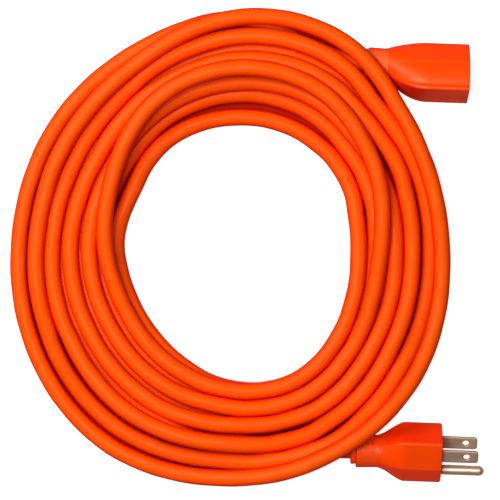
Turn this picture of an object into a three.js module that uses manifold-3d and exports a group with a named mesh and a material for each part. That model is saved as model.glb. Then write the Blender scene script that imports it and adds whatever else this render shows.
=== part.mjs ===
// Shore power cord: about 17 ft of orange three-core flexible cord, wound into a round pile, with a
// moulded three-pin plug on one end and a matching three-hole connector on the other.
// Millimetres, +Z up. The cord lies on z = 0 and both ends point along +X. The origin is on the
// floor, under the middle of the whole part.

import * as THREE from 'three';
import { mergeVertices } from 'three/addons/utils/BufferGeometryUtils.js';
import Module from 'manifold-3d';

const wasm = await Module();
wasm.setup();

// ---------------------------------------------------------------- driving dimensions

const clearance = 0.3; // between pieces that touch or slide into each other

// cord
const cordDiameter = 8.2;
const wireDiameter = 2.9; // one insulated conductor
const copperDiameter = 1.6; // its stranded core
const strandGap = 0.65; // between neighbouring loops of the pile

// pile of loops, polar about its own middle; angles run anticlockwise from +X
const loops = 9.5; // from the plug's side of the pile to the connector's
const stepsPerLoop = 24;
const coilSides = 6;
const lanePitch = 9.1; // each loop lies this much further in, or out, than the one before
const turnAround = 3.6; // loops wound inwards before the spiral turns back out
const laneShiftAt = 330; // degrees; the loops drift from lane to lane mostly here
const outerReach = [103.6, 104.4, 115.5, 116, 109.2, 105.7, 105.2, 110, 115.3, 113.4, 111.6, 109.6];
const innerReach = [60.8, 63.6, 63.4, 60.4, 58.3, 52.3, 52.6, 51.4, 55.4, 63, 67.2, 63];
const lanesAcross = [5.6, 5.3, 4.85, 4.85, 5.3, 5.6, 5.6, 5.6, 5.6, 5.6, 5.6, 5.6]; // where it spreads
const reachStep = 30; // degrees between the values of the three lists above
const crossing = { from: 4.2, to: 4.8, out: 18 }; // one loop swings out across the others
const dive = { from: 9.33, depth: 4 }; // the last loop turns in under the one above it
const tuck = { from: 7.56, to: 8.1 }; // this stretch slips under the loop inside it
const freeLane = { from: 7.93, full: 8.15, until: 8.37, to: 8.57 }; // kept open for that loop

// housing section, shared by plug and connector: u across the blades, v away from the ground pin
const housingHalfWidth = 10.3;
const housingTop = 8.9;
const housingShoulder = -6.1; // where each flat side turns into its chamfer
const housingTipRadius = 6.2; // round nose about the ground pin
const housingCorner = 1.6;
const housingWall = 1.3;
const frontRounding = 0.7;

// blades and pin, to the usual three-pin 15 A pattern
const bladeOffset = 6.35; // each blade from the middle
const bladeWidth = 6.35;
const bladeThickness = 1.5;
const bladeLength = 17.6;
const bladeCorner = 1.7;
const bladeHole = 3.2;
const bladeHoleAt = 11.9;
const pinOffset = -11.9;
const pinDiameter = 4.76;
const pinLength = 21.2;

// plug; the flare's power bends its outline, and its rounding turns the bend into an S
const plug = {
  bodyLength: 18.4, flareLength: 12.8, flarePower: 1, flareRounding: 0.45,
  neckLength: 12.9, neckOffset: -2.5, neckFrontRadius: 7.9, neckRearRadius: 8.35,
  collarRadius: 6.7, collarLength: 2,
  blockLength: 10, crimpLength: 6, crimpRadius: 2, crimpInset: 0, wireRun: 15.7,
};
const plugFace = [105.7, -94]; // x, y of the middle between the blades, from the pile's middle

// connector
const connector = {
  bodyLength: 19.8, flareLength: 19.6, flarePower: 2, flareRounding: 0,
  neckLength: 11.4, neckOffset: -6.8, neckFrontRadius: 7.6, neckRearRadius: 7.9,
  collarRadius: 7.2, collarLength: 1.2,
  blockLength: 21, crimpLength: 3.4, crimpRadius: 1.7, crimpInset: 1.1, wireRun: 14.7,
};
const connectorFace = [112.6, 85.6];
const connectorTilt = THREE.MathUtils.degToRad(16); // it lies rolled onto one shoulder
const slotWidth = 2.1;
const slotHeights = { line: 7.1, neutral: 8.6 };
const slotDepth = 4.6;
const groundHoleRadius = 2.6;
const contactStrip = 0.6; // sheet thickness
const contactGap = 1.3; // the leaves are sprung closer than a blade is thick
const contactHeight = 6;
const sleeveRadius = 2.5;

// mark left in each neck by the core pin of the mould, back from the neck's front
const corePin = { plug: [2.2, 29, 0.8], connector: [5.8, -83, 1] }; // distance, degrees, radius
const corePinDepth = 1.5;

// ---------------------------------------------------------------- solids

function solidOf(geometry) {
  const bare = geometry.index ? geometry.toNonIndexed() : geometry.clone();
  bare.deleteAttribute('normal');
  bare.deleteAttribute('uv');
  const merged = mergeVertices(bare, 1e-4);
  return new wasm.Manifold(new wasm.Mesh({
    numProp: 3,
    vertProperties: new Float32Array(merged.attributes.position.array),
    triVerts: new Uint32Array(merged.index.array),
  }));
}

function geometryOf(solid) {
  const mesh = solid.getMesh();
  const geometry = new THREE.BufferGeometry();
  geometry.setAttribute('position', new THREE.BufferAttribute(mesh.vertProperties, 3));
  geometry.setIndex(new THREE.BufferAttribute(mesh.triVerts, 1));
  geometry.computeVertexNormals();
  return geometry;
}

function cut(base, ...tools) {
  return geometryOf(tools.reduce((left, tool) => left.subtract(solidOf(tool)), solidOf(base)));
}

function join(base, ...others) {
  return geometryOf(others.reduce((sum, other) => sum.add(solidOf(other)), solidOf(base)));
}

// a closed skin through rings of equal count, capped at both ends; the rings run towards -X,
// and the points of each run anticlockwise as seen from +X
function skin(rings) {
  const count = rings[0].length;
  const position = rings.flat().flatMap((point) => point.toArray());
  const index = [];
  for (let r = 0; r < rings.length - 1; r += 1) {
    for (let k = 0; k < count; k += 1) {
      const a = r * count + k;
      const b = r * count + ((k + 1) % count);
      index.push(a, a + count, b, b, a + count, b + count);
    }
  }
  [rings[0], rings[rings.length - 1]].forEach((ring, end) => {
    const middle = ring.reduce((sum, point) => sum.add(point), new THREE.Vector3()).divideScalar(count);
    const hub = position.length / 3;
    position.push(...middle.toArray());
    const base = end === 0 ? 0 : (rings.length - 1) * count;
    for (let k = 0; k < count; k += 1) {
      const pair = [base + k, base + ((k + 1) % count)];
      index.push(hub, ...(end === 0 ? pair : pair.reverse()));
    }
  });
  const geometry = new THREE.BufferGeometry();
  geometry.setAttribute('position', new THREE.Float32BufferAttribute(position, 3));
  geometry.setIndex(index);
  geometry.computeVertexNormals();
  return geometry;
}

// a round bar or hole along X, at a place in the section
function bar(radius, front, rear, u = 0, v = 0, sides = 20) {
  const geometry = new THREE.CylinderGeometry(radius, radius, front - rear, sides);
  return geometry.rotateZ(-Math.PI / 2).translate((front + rear) / 2, u, v);
}

function block(width, height, front, rear, u = 0, v = 0) {
  return new THREE.BoxGeometry(front - rear, width, height).translate((front + rear) / 2, u, v);
}

// a turned piece along X, from [radius, x] pairs that start and end on the axis, front last
function turned(profile, u, v, sides = 20) {
  const points = profile.map(([radius, x]) => new THREE.Vector2(radius, x));
  return new THREE.LatheGeometry(points, sides).rotateZ(-Math.PI / 2).translate(0, u, v);
}

function tube(points, radius, sides, steps) {
  const section = Array.from({ length: sides }, (_, k) => {
    const angle = ((k + 0.5) / sides) * 2 * Math.PI;
    return new THREE.Vector2(radius * Math.cos(angle), radius * Math.sin(angle));
  });
  const extrudePath = new THREE.CatmullRomCurve3(points.map((point) => new THREE.Vector3(...point)));
  return new THREE.ExtrudeGeometry(new THREE.Shape(section), { steps, extrudePath });
}

function piece(name, geometry, finish) {
  const mesh = new THREE.Mesh(geometry, new THREE.MeshStandardMaterial(finish));
  mesh.name = name;
  return mesh;
}

// ---------------------------------------------------------------- finishes

const orangeVinyl = { color: 0xff4a06, roughness: 0.42, metalness: 0 };
const orangeJacket = { color: 0xff5208, roughness: 0.4, metalness: 0 };
const orangeInsert = { color: 0xf04a12, roughness: 0.5, metalness: 0 };
const nickelledBrass = { color: 0xa5876b, roughness: 0.3, metalness: 1 };
const springBronze = { color: 0xb98a4e, roughness: 0.35, metalness: 1 };
const copper = { color: 0xb8673a, roughness: 0.35, metalness: 1 };
const coreFinish = {
  line: { color: 0x161616, roughness: 0.5, metalness: 0 },
  neutral: { color: 0xe8e8e4, roughness: 0.5, metalness: 0 },
  ground: { color: 0x1f7a3a, roughness: 0.5, metalness: 0 },
};

// ---------------------------------------------------------------- housing section

// the chamfer is tangent to the nose, so its slope follows from the other sizes
const shoulderDrop = housingShoulder - pinOffset;
const chamferTilt = Math.acos(housingTipRadius / Math.hypot(housingHalfWidth, shoulderDrop))
  - Math.atan2(shoulderDrop, housingHalfWidth);

function spread(a, b, count) {
  return Array.from({ length: count }, (_, k) => a.clone().lerp(b, k / count));
}

function arc(u, v, radius, from, to, count) {
  return Array.from({ length: count + 1 }, (_, k) => {
    const angle = from + ((to - from) * k) / count;
    return new THREE.Vector2(u + radius * Math.cos(angle), v + radius * Math.sin(angle));
  });
}

// the section's outline drawn in by an inset, always with the same number of points
function outline(inset) {
  const side = housingHalfWidth - inset;
  const top = housingTop - inset;
  const nose = housingTipRadius - inset;
  const corner = Math.max(housingCorner - inset, 0.3);
  const shoulder = pinOffset + (side * Math.cos(chamferTilt) - nose) / Math.sin(chamferTilt);
  const right = arc(side - corner, top - corner, corner, 0, Math.PI / 2, 4);
  const left = arc(corner - side, top - corner, corner, Math.PI / 2, Math.PI, 4);
  const tip = arc(0, pinOffset, nose, Math.PI + chamferTilt, 2 * Math.PI - chamferTilt, 10);
  const leftShoulder = new THREE.Vector2(-side, shoulder);
  const rightShoulder = new THREE.Vector2(side, shoulder);
  return [
    ...right.slice(0, -1), ...spread(right[4], left[0], 4),
    ...left.slice(0, -1), ...spread(left[4], leftShoulder, 3), ...spread(leftShoulder, tip[0], 2),
    ...tip.slice(0, -1), ...spread(tip[10], rightShoulder, 2), ...spread(rightShoulder, right[0], 3),
  ];
}

// one ring of a housing: the section, melted by share into the round neck
function ring(x, inset, share, radius, neckOffset) {
  return outline(inset).map((point) => {
    const away = new THREE.Vector2(point.x, point.y - neckOffset);
    const round = away.clone().normalize().multiplyScalar(radius);
    away.lerp(round, share);
    return new THREE.Vector3(x, away.x, away.y + neckOffset);
  });
}

function flareRings(sizes, inset) {
  const steps = 6;
  const radius = sizes.neckFrontRadius - inset;
  return Array.from({ length: steps + 1 }, (_, k) => {
    const share = k / steps;
    const bent = share ** sizes.flarePower;
    const melt = THREE.MathUtils.lerp(bent, share * share * (3 - 2 * share), sizes.flareRounding);
    return ring(-sizes.bodyLength - share * sizes.flareLength, inset, melt, radius, sizes.neckOffset);
  });
}

const neckFront = (sizes) => -sizes.bodyLength - sizes.flareLength;
const neckEnd = (sizes) => neckFront(sizes) - sizes.neckLength;
const crimpFront = (sizes) => -sizes.blockLength - 1.2;
const crimpRear = (sizes) => crimpFront(sizes) - sizes.crimpLength;
const jacketFront = (sizes) => crimpRear(sizes) - sizes.wireRun - 3 * clearance;

// moulded cover: solid outside, hollow for the block, the crimps, the cores and the cord
function housing(sizes, [coreDistance, coreAngle, coreRadius]) {
  const neckX = neckFront(sizes);
  const endX = neckEnd(sizes);
  const groove = endX + sizes.collarLength;
  const neckRing = (x, radius) => ring(x, 0, 1, radius, sizes.neckOffset);
  const outside = skin([
    ring(0, frontRounding, 0, 1, sizes.neckOffset),
    ring(-0.3 * frontRounding, 0.3 * frontRounding, 0, 1, sizes.neckOffset),
    ring(-frontRounding, 0, 0, 1, sizes.neckOffset),
    ...flareRings(sizes, 0),
    neckRing(groove + 0.8, sizes.neckRearRadius),
    neckRing(groove + 0.4, sizes.collarRadius - 0.35),
    neckRing(groove, sizes.collarRadius),
    neckRing(endX + 0.5, sizes.collarRadius),
    neckRing(endX, sizes.collarRadius - 0.5),
  ]);
  const bore = cordDiameter / 2 + clearance;
  const hollow = skin([
    ring(1, housingWall, 0, 1, sizes.neckOffset),
    ...flareRings(sizes, housingWall),
    ring(jacketFront(sizes), 0, 1, bore, sizes.neckOffset),
    ring(endX - 1, 0, 1, bore, sizes.neckOffset),
  ]);
  const mark = new THREE.CylinderGeometry(coreRadius, coreRadius, 2 * corePinDepth, 8);
  mark.rotateX(Math.PI / 2).translate(neckX - coreDistance, 0, 0);
  mark.translate(0, 0, sizes.neckFrontRadius);
  mark.rotateX(THREE.MathUtils.degToRad(coreAngle)).translate(0, 0, sizes.neckOffset);
  return cut(outside, hollow, mark);
}

// the three cores of the cord, fanned out from the neck to the crimps
function corePlaces(sizes) {
  const radius = (wireDiameter + 1.4 * clearance) / Math.sqrt(3);
  const place = (degrees) => {
    const angle = THREE.MathUtils.degToRad(degrees);
    return [radius * Math.cos(angle), sizes.neckOffset + radius * Math.sin(angle)];
  };
  return {
    line: { crimp: [bladeOffset - sizes.crimpInset, 0], jacket: place(30) },
    neutral: { crimp: [sizes.crimpInset - bladeOffset, 0], jacket: place(150) },
    ground: { crimp: [0, pinOffset], jacket: place(270) },
  };
}

function cores(prefix, sizes) {
  const group = new THREE.Group();
  const copperRear = crimpRear(sizes) - clearance / 2;
  const front = crimpRear(sizes) - clearance - clearance / 2;
  const rear = jacketFront(sizes) + clearance;
  for (const [core, { crimp, jacket }] of Object.entries(corePlaces(sizes))) {
    const straight = 1;
    const route = [
      [front, ...crimp], [front - straight, ...crimp],
      [rear + straight, ...jacket], [rear, ...jacket],
    ];
    group.add(piece(`${prefix}_wire_${core}`, tube(route, wireDiameter / 2, 8, 10), coreFinish[core]));
    const strands = bar(copperDiameter / 2, crimpFront(sizes) - 0.9, copperRear, ...crimp, 12);
    group.add(piece(`${prefix}_copper_${core}`, strands, copper));
  }
  const jacket = bar(cordDiameter / 2, jacketFront(sizes), neckEnd(sizes), 0, sizes.neckOffset, 24);
  group.add(piece(`${prefix}_jacket_end`, jacket, orangeJacket));
  return group;
}

// crimp barrel behind a blade or a contact, bored for the copper
function crimp(sizes, u, v) {
  const radius = copperDiameter / 2 + clearance;
  const barrel = bar(sizes.crimpRadius, crimpFront(sizes) + 0.6, crimpRear(sizes), u, v);
  const bore = bar(radius, crimpFront(sizes) - 0.6, crimpRear(sizes) - 1, u, v, 12);
  return { barrel, bore };
}

// ---------------------------------------------------------------- plug

function blade(u) {
  const half = bladeWidth / 2;
  const rear = crimpFront(plug);
  const shape = new THREE.Shape();
  shape.moveTo(rear, -half);
  shape.lineTo(bladeLength - bladeCorner, -half);
  shape.absarc(bladeLength - bladeCorner, bladeCorner - half, bladeCorner, -Math.PI / 2, 0);
  shape.absarc(bladeLength - bladeCorner, half - bladeCorner, bladeCorner, 0, Math.PI / 2);
  shape.lineTo(rear, half);
  const hole = new THREE.Path();
  hole.absarc(bladeHoleAt, 0, bladeHole / 2, 0, 2 * Math.PI, true);
  shape.holes.push(hole);
  const strip = new THREE.ExtrudeGeometry(shape, {
    depth: bladeThickness, bevelEnabled: false, curveSegments: 8,
  });
  strip.translate(0, 0, -bladeThickness / 2).rotateX(Math.PI / 2).translate(0, u, 0);
  const { barrel, bore } = crimp(plug, u, 0);
  return cut(join(strip, barrel), bore);
}

function groundPin() {
  const radius = pinDiameter / 2;
  const bore = copperDiameter / 2 + clearance;
  const nose = Array.from({ length: 6 }, (_, k) => {
    const angle = (k / 6) * (Math.PI / 2);
    return [radius * Math.cos(angle), pinLength - radius + radius * Math.sin(angle)];
  });
  return turned([
    [0, crimpFront(plug) - 0.6], [bore, crimpFront(plug) - 0.6], [bore, crimpRear(plug)],
    [plug.crimpRadius, crimpRear(plug)], [plug.crimpRadius, crimpFront(plug)],
    [radius, crimpFront(plug)], ...nose, [0, pinLength],
  ], 0, pinOffset);
}

// rigid block that spaces the blades, with its front face flush with the cover's
function bladeBlock() {
  const rim = (x) => ring(x, housingWall + clearance, 0, 1, plug.neckOffset);
  const gap = 2 * clearance;
  const passage = (u) => block(bladeThickness + gap, bladeWidth + gap, 1, -plug.blockLength - 1, u, 0);
  const pinPassage = bar(pinDiameter / 2 + clearance, 1, -plug.blockLength - 1, 0, pinOffset, 24);
  return cut(skin([rim(0), rim(-plug.blockLength)]), passage(bladeOffset), passage(-bladeOffset), pinPassage);
}

const plugGroup = new THREE.Group();
plugGroup.add(
  piece('plug_body', housing(plug, corePin.plug), orangeVinyl),
  piece('plug_blade_block', bladeBlock(), orangeInsert),
  piece('plug_blade_line', blade(bladeOffset), nickelledBrass),
  piece('plug_blade_neutral', blade(-bladeOffset), nickelledBrass),
  piece('plug_ground_pin', groundPin(), nickelledBrass),
  cores('plug', plug),
);

// ---------------------------------------------------------------- connector

// block with the two blade slots and the pin hole, and a chamber behind each for its contact
function contactBlock() {
  const rear = -connector.blockLength - 1;
  const rim = (x) => ring(x, housingWall + clearance, 0, 1, connector.neckOffset);
  const slot = (u, height) => block(slotWidth, height, 1, -slotDepth, u, 0);
  const chamberWidth = contactGap + 2 * contactStrip + 2 * clearance;
  const chamber = (u) => block(
    chamberWidth, contactHeight + 2 * clearance, clearance - slotDepth, rear, u, 0,
  );
  const groundHole = bar(groundHoleRadius, 1, -slotDepth, 0, pinOffset, 24);
  const groundFlat = block(2 * groundHoleRadius, groundHoleRadius, 1, -slotDepth, 0,
    pinOffset + groundHoleRadius / 2);
  const groundChamber = bar(sleeveRadius + contactStrip + clearance, clearance - slotDepth, rear,
    0, pinOffset, 24);
  return cut(skin([rim(0), rim(-connector.blockLength)]),
    slot(bladeOffset, slotHeights.line), slot(-bladeOffset, slotHeights.neutral),
    chamber(bladeOffset), chamber(-bladeOffset), groundHole, groundFlat, groundChamber);
}

const contactFront = -slotDepth - clearance;

// two leaves folded from one strip, open to the front, with a crimp barrel behind the fold
function contact(u) {
  const rear = crimpFront(connector);
  const half = contactGap / 2;
  const outer = half + contactStrip;
  const shape = new THREE.Shape();
  shape.moveTo(contactFront, half);
  shape.lineTo(contactFront, outer);
  shape.lineTo(rear, outer);
  shape.lineTo(rear, -outer);
  shape.lineTo(contactFront, -outer);
  shape.lineTo(contactFront, -half);
  shape.lineTo(rear + contactStrip, -half);
  shape.lineTo(rear + contactStrip, half);
  const strip = new THREE.ExtrudeGeometry(shape, { depth: contactHeight, bevelEnabled: false });
  strip.translate(0, u, -contactHeight / 2);
  const { barrel, bore } = crimp(connector, u - Math.sign(u) * connector.crimpInset, 0);
  const foldFace = block(3 * outer, contactHeight, rear + contactStrip + 2, rear + contactStrip / 2, u, 0);
  return cut(join(strip, geometryOf(solidOf(barrel).subtract(solidOf(foldFace)))), bore);
}

// split sleeve that grips the ground pin
function groundContact() {
  const outer = sleeveRadius + contactStrip;
  const rear = crimpFront(connector);
  const bore = copperDiameter / 2 + clearance;
  const sleeve = turned([
    [0, rear - 0.6], [bore, rear - 0.6], [bore, crimpRear(connector)],
    [connector.crimpRadius, crimpRear(connector)], [connector.crimpRadius, rear],
    [outer, rear], [outer, contactFront], [sleeveRadius, contactFront],
    [sleeveRadius, rear + contactStrip], [0, rear + contactStrip],
  ], 0, pinOffset);
  const slit = block(contactStrip, 2 * outer, contactFront + 1, rear + 3, 0, pinOffset + outer);
  return cut(sleeve, slit);
}

const connectorGroup = new THREE.Group();
connectorGroup.add(
  piece('connector_body', housing(connector, corePin.connector), orangeVinyl),
  piece('connector_contact_block', contactBlock(), orangeInsert),
  piece('connector_contact_line', contact(bladeOffset), springBronze),
  piece('connector_contact_neutral', contact(-bladeOffset), springBronze),
  piece('connector_contact_ground', groundContact(), springBronze),
  cores('connector', connector),
);

// ---------------------------------------------------------------- where the two ends lie

// the plug rests on one chamfer, the connector on the edge between a side and a chamfer
const restHeight = (tilt) => housingHalfWidth * Math.cos(tilt) - housingShoulder * Math.sin(tilt);
plugGroup.position.set(...plugFace, restHeight(chamferTilt));
plugGroup.rotation.x = chamferTilt - Math.PI / 2;
connectorGroup.position.set(...connectorFace, restHeight(connectorTilt));
connectorGroup.rotation.x = Math.PI / 2 - connectorTilt;

function cordExit(group, sizes) {
  group.updateMatrixWorld();
  return new THREE.Vector3(neckEnd(sizes), 0, sizes.neckOffset).applyMatrix4(group.matrixWorld);
}

const plugExit = cordExit(plugGroup, plug);
const connectorExit = cordExit(connectorGroup, connector);

// ---------------------------------------------------------------- cord

const cordRadius = cordDiameter / 2;
const floorLevel = 0.4 * cordDiameter; // loops that lie on the floor are pressed flat there
const strandSpacing = cordDiameter + strandGap;

// smooth value of a list round the pile at an angle
function around(list, degrees) {
  const place = THREE.MathUtils.euclideanModulo(degrees, 360) / reachStep;
  const k = Math.floor(place);
  const s = place - k;
  const [a, b, c, d] = [-1, 0, 1, 2].map((step) => list[(k + step + list.length) % list.length]);
  return b + 0.5 * s * (c - a + s * (2 * a - 5 * b + 4 * c - d + s * (3 * (b - c) + d - a)));
}

const { smoothstep } = THREE.MathUtils;

function swingOut(loop) {
  const middle = (crossing.from + crossing.to) / 2;
  return crossing.out * smoothstep(loop, crossing.from, middle)
    * (1 - smoothstep(loop, middle, crossing.to));
}

// distance of the loops from the pile's middle, after so many loops from the plug
function reach(loop, degrees) {
  const open = smoothstep(loop, freeLane.from, freeLane.full)
    * (1 - smoothstep(loop, freeLane.until, freeLane.to));
  const inner = around(innerReach, degrees);
  const whole = around(outerReach, degrees) - inner;
  const width = whole - open * (strandSpacing + 0.2);
  const pitch = Math.max(lanePitch, whole / around(lanesAcross, degrees));
  const unevenness = Math.sin(THREE.MathUtils.degToRad(laneShiftAt - degrees)) / (2 * Math.PI);
  const lane = pitch * Math.abs(loop + unevenness - turnAround);
  const squeezed = (lane + width - Math.hypot(lane - width, 2)) / 2;
  return inner + squeezed + swingOut(loop) - dive.depth * smoothstep(loop, dive.from, loops);
}

// loops are laid in this order: the end that dives first, then from plug to connector, with the
// tucked stretch straight after the first loop and the crossing swing last
function layingOrder(loop) {
  if (loop > dive.from + 0.5 / stepsPerLoop) return -1;
  if (loop > tuck.from && loop < tuck.to) return 1;
  return loop > crossing.from && loop < crossing.to ? loops + 1 : loop;
}

const route = Array.from({ length: loops * stepsPerLoop + 1 }, (_, k) => {
  const loop = k / stepsPerLoop;
  const degrees = THREE.MathUtils.euclideanModulo(270 - 360 * loop, 360);
  return { loop, degrees, reach: reach(loop, degrees), order: layingOrder(loop), height: floorLevel };
});

// free stretches between the pile and the two necks, chosen by hand
const coilStart = [0, -route[0].reach, cordRadius];
const coilEnd = [0, route[route.length - 1].reach, cordRadius];
const plugStretch = [
  [plugExit.x - clearance, plugExit.y, plugExit.z], [53.4, plugExit.y, plugExit.z],
  [38, -98.5, 8.6], [22, -96.8, 5.3],
  [cordDiameter + clearance, coilStart[1], cordRadius], [clearance, coilStart[1], cordRadius],
];
const connectorStretch = [
  [connectorExit.x - clearance, connectorExit.y, connectorExit.z],
  [53.8, connectorExit.y, connectorExit.z], [38, 97.8, 8.0], [23, 104.3, 5.2],
  [cordDiameter + clearance, coilEnd[1], cordRadius], [clearance, coilEnd[1], cordRadius],
];

// what the loops have to climb over: both free stretches, and the end of each neck
function inTheWay(stretch, neckPoint, neckRadius) {
  const samples = new THREE.CatmullRomCurve3(stretch.map((point) => new THREE.Vector3(...point)))
    .getPoints(60).map((point) => ({ point, room: strandSpacing }));
  samples.push({ point: neckPoint, room: neckRadius + cordRadius + strandGap });
  return samples.map(({ point, room }) => ({
    degrees: THREE.MathUtils.euclideanModulo(Math.atan2(point.y, point.x) * (180 / Math.PI), 360),
    reach: Math.hypot(point.x, point.y), height: point.z, room,
  }));
}

const stepAngle = 360 / stepsPerLoop;
const nearStation = (item, degrees, room) => Math.abs(item.degrees - degrees) < room;
const obstacles = [
  ...inTheWay(plugStretch, plugExit, plug.collarRadius),
  ...inTheWay(connectorStretch, connectorExit, connector.collarRadius),
];

// each loop rests on the floor or on what was laid before it at the same angle; then the cord's
// stiffness rounds its path off, over one step each way, and those above follow
function settle() {
  const rise = (room, apart) => (apart < room ? Math.sqrt(room * room - apart * apart) : -Infinity);
  const held = route.map((spot) => {
    const loopsBelow = route.filter((other) => other.order < spot.order
      && nearStation(other, spot.degrees, 1))
      .map((other) => other.height + rise(strandSpacing, Math.abs(other.reach - spot.reach)));
    const ends = obstacles.filter((other) => nearStation(other, spot.degrees,
      other.room > strandSpacing ? stepAngle / 2 : 1))
      .map((other) => other.height + rise(other.room, Math.abs(other.reach - spot.reach)));
    return Math.max(floorLevel, ...loopsBelow, ...ends);
  });
  const at = (list, k) => list[Math.min(Math.max(k, 0), list.length - 1)];
  const highest = held.map((_, k) => Math.max(at(held, k - 1), held[k], at(held, k + 1)));
  route.forEach((spot, k) => {
    spot.height = (at(highest, k - 1) + highest[k] + at(highest, k + 1)) / 3;
  });
}

const settlingRounds = 8;
for (let round = 0; round < settlingRounds; round += 1) settle();

function spotPoint({ degrees, reach: distance, height }) {
  const angle = THREE.MathUtils.degToRad(degrees);
  return new THREE.Vector3(distance * Math.cos(angle), distance * Math.sin(angle), height);
}

// both ends of the pile run straight for one diameter, square to the stretch they meet
const coilPath = [
  new THREE.Vector3(...coilStart), new THREE.Vector3(-cordDiameter, coilStart[1], cordRadius),
  ...route.slice(1, -1).map(spotPoint),
  new THREE.Vector3(-cordDiameter, coilEnd[1], cordRadius), new THREE.Vector3(...coilEnd),
];

// one unbroken tube through the path, with a flat side down and pressed flat on the floor
function woundTube(path) {
  const position = [];
  const index = [];
  path.forEach((point, k) => {
    const before = path[Math.max(k - 1, 0)];
    const after = path[Math.min(k + 1, path.length - 1)];
    const along = after.clone().sub(before).normalize();
    const across = new THREE.Vector3(along.y, -along.x, 0).normalize();
    const up = across.clone().cross(along);
    for (let side = 0; side < coilSides; side += 1) {
      const angle = (side / coilSides) * 2 * Math.PI;
      const corner = point.clone().addScaledVector(across, cordRadius * Math.cos(angle))
        .addScaledVector(up, cordRadius * Math.sin(angle));
      position.push(corner.x, corner.y, Math.max(corner.z, 0));
    }
    if (k === 0) return;
    const base = (k - 1) * coilSides;
    for (let side = 0; side < coilSides; side += 1) {
      const a = base + side;
      const b = base + ((side + 1) % coilSides);
      index.push(a, a + coilSides, b, b, a + coilSides, b + coilSides);
    }
  });
  const last = (path.length - 1) * coilSides;
  for (let side = 1; side < coilSides - 1; side += 1) {
    index.push(0, side, side + 1, last, last + side + 1, last + side);
  }
  const geometry = new THREE.BufferGeometry();
  geometry.setAttribute('position', new THREE.Float32BufferAttribute(position, 3));
  geometry.setIndex(index);
  geometry.computeVertexNormals();
  return geometry;
}

// least gap of the pile to itself, measured between points a quarter step apart
function leastGap(path) {
  const samples = path.slice(1).flatMap((point, k) => [0, 0.25, 0.5, 0.75]
    .map((share) => ({ at: path[k].clone().lerp(point, share), step: k + share })));
  let least = Infinity;
  samples.forEach((a, i) => samples.slice(i + 1).forEach((b) => {
    if (b.step - a.step > 4) least = Math.min(least, a.at.distanceTo(b.at));
  }));
  return least - cordDiameter;
}

const lengthOf = (points) => points.slice(1)
  .reduce((sum, point, k) => sum + point.distanceTo(points[k]), 0);
const stretchLength = (points) => new THREE.CatmullRomCurve3(
  points.map((point) => new THREE.Vector3(...point)),
).getLength();
const cordLength = lengthOf(coilPath) + stretchLength(plugStretch) + stretchLength(connectorStretch);
console.log(`pile: least gap to itself ${leastGap(coilPath).toFixed(2)} mm`);
console.log(`cord between the necks: ${cordLength.toFixed(0)} mm`);

const stretchSides = 10;
const stretchSteps = 8;
const cord = new THREE.Group();
cord.add(
  piece('cord_coil', woundTube(coilPath), orangeJacket),
  piece('cord_to_plug', tube(plugStretch, cordRadius, stretchSides, stretchSteps), orangeJacket),
  piece('cord_to_connector', tube(connectorStretch, cordRadius, stretchSides, stretchSteps), orangeJacket),
);

// ---------------------------------------------------------------- assembly

const shorePowerCord = new THREE.Group();
shorePowerCord.add(plugGroup, connectorGroup, cord);
shorePowerCord.updateMatrixWorld(true);
const extent = new THREE.Box3().setFromObject(shorePowerCord, true);
const middle = extent.getCenter(new THREE.Vector3());
shorePowerCord.position.set(-middle.x, -middle.y, 0);
console.log(`pile's middle from the origin: ${(-middle.x).toFixed(2)}, ${(-middle.y).toFixed(2)} mm`);

export default shorePowerCord;
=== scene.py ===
import math

import bmesh
import bpy
import numpy as np
from mathutils import Matrix, Vector
from mathutils.kdtree import KDTree


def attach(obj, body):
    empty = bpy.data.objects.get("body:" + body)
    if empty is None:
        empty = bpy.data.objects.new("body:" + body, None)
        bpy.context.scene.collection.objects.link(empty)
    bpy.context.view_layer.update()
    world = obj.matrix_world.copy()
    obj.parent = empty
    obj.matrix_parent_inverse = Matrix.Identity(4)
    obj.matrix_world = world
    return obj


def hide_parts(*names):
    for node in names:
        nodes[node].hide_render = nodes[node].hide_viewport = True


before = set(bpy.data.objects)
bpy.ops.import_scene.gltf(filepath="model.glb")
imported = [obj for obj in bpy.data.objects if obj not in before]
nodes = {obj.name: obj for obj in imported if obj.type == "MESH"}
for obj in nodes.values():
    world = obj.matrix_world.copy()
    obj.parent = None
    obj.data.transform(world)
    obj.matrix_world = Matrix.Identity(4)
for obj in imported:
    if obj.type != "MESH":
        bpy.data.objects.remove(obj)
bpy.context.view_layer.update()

scene = bpy.context.scene
MM = 0.001

# ------------------------------------------------------------------ camera
# The cord is seen from straight above, as a flat lay. The picture is turned two degrees, so the
# two ends slope a little down to the right.

FIELD = 500 / 2.06 * MM          # width of the picture at the pile
PILE_MIDDLE = Vector((-9.08, -0.26)) * MM
AIM = PILE_MIDDLE + Vector((9.25, -0.65)) * MM
CAMERA_HEIGHT = 1.7
PILE_TOP = 14 * MM

camera_data = bpy.data.cameras.new("flat_lay_camera")
camera_data.sensor_width = 36
camera_data.lens = 36 * (CAMERA_HEIGHT - PILE_TOP) / FIELD
camera_data.clip_end = 20
camera = bpy.data.objects.new("flat_lay_camera", camera_data)
camera.location = (AIM.x, AIM.y, CAMERA_HEIGHT)
camera.rotation_euler = (0, 0, math.radians(2))
scene.collection.objects.link(camera)
scene.camera = camera

# ------------------------------------------------------------------ plug cover
# The plug's cover is one shot of soft vinyl, moulded over the insert and the end of the cord. A
# rounded section with a chamfer each side of the ground pin melts into a round neck with a collar.

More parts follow.
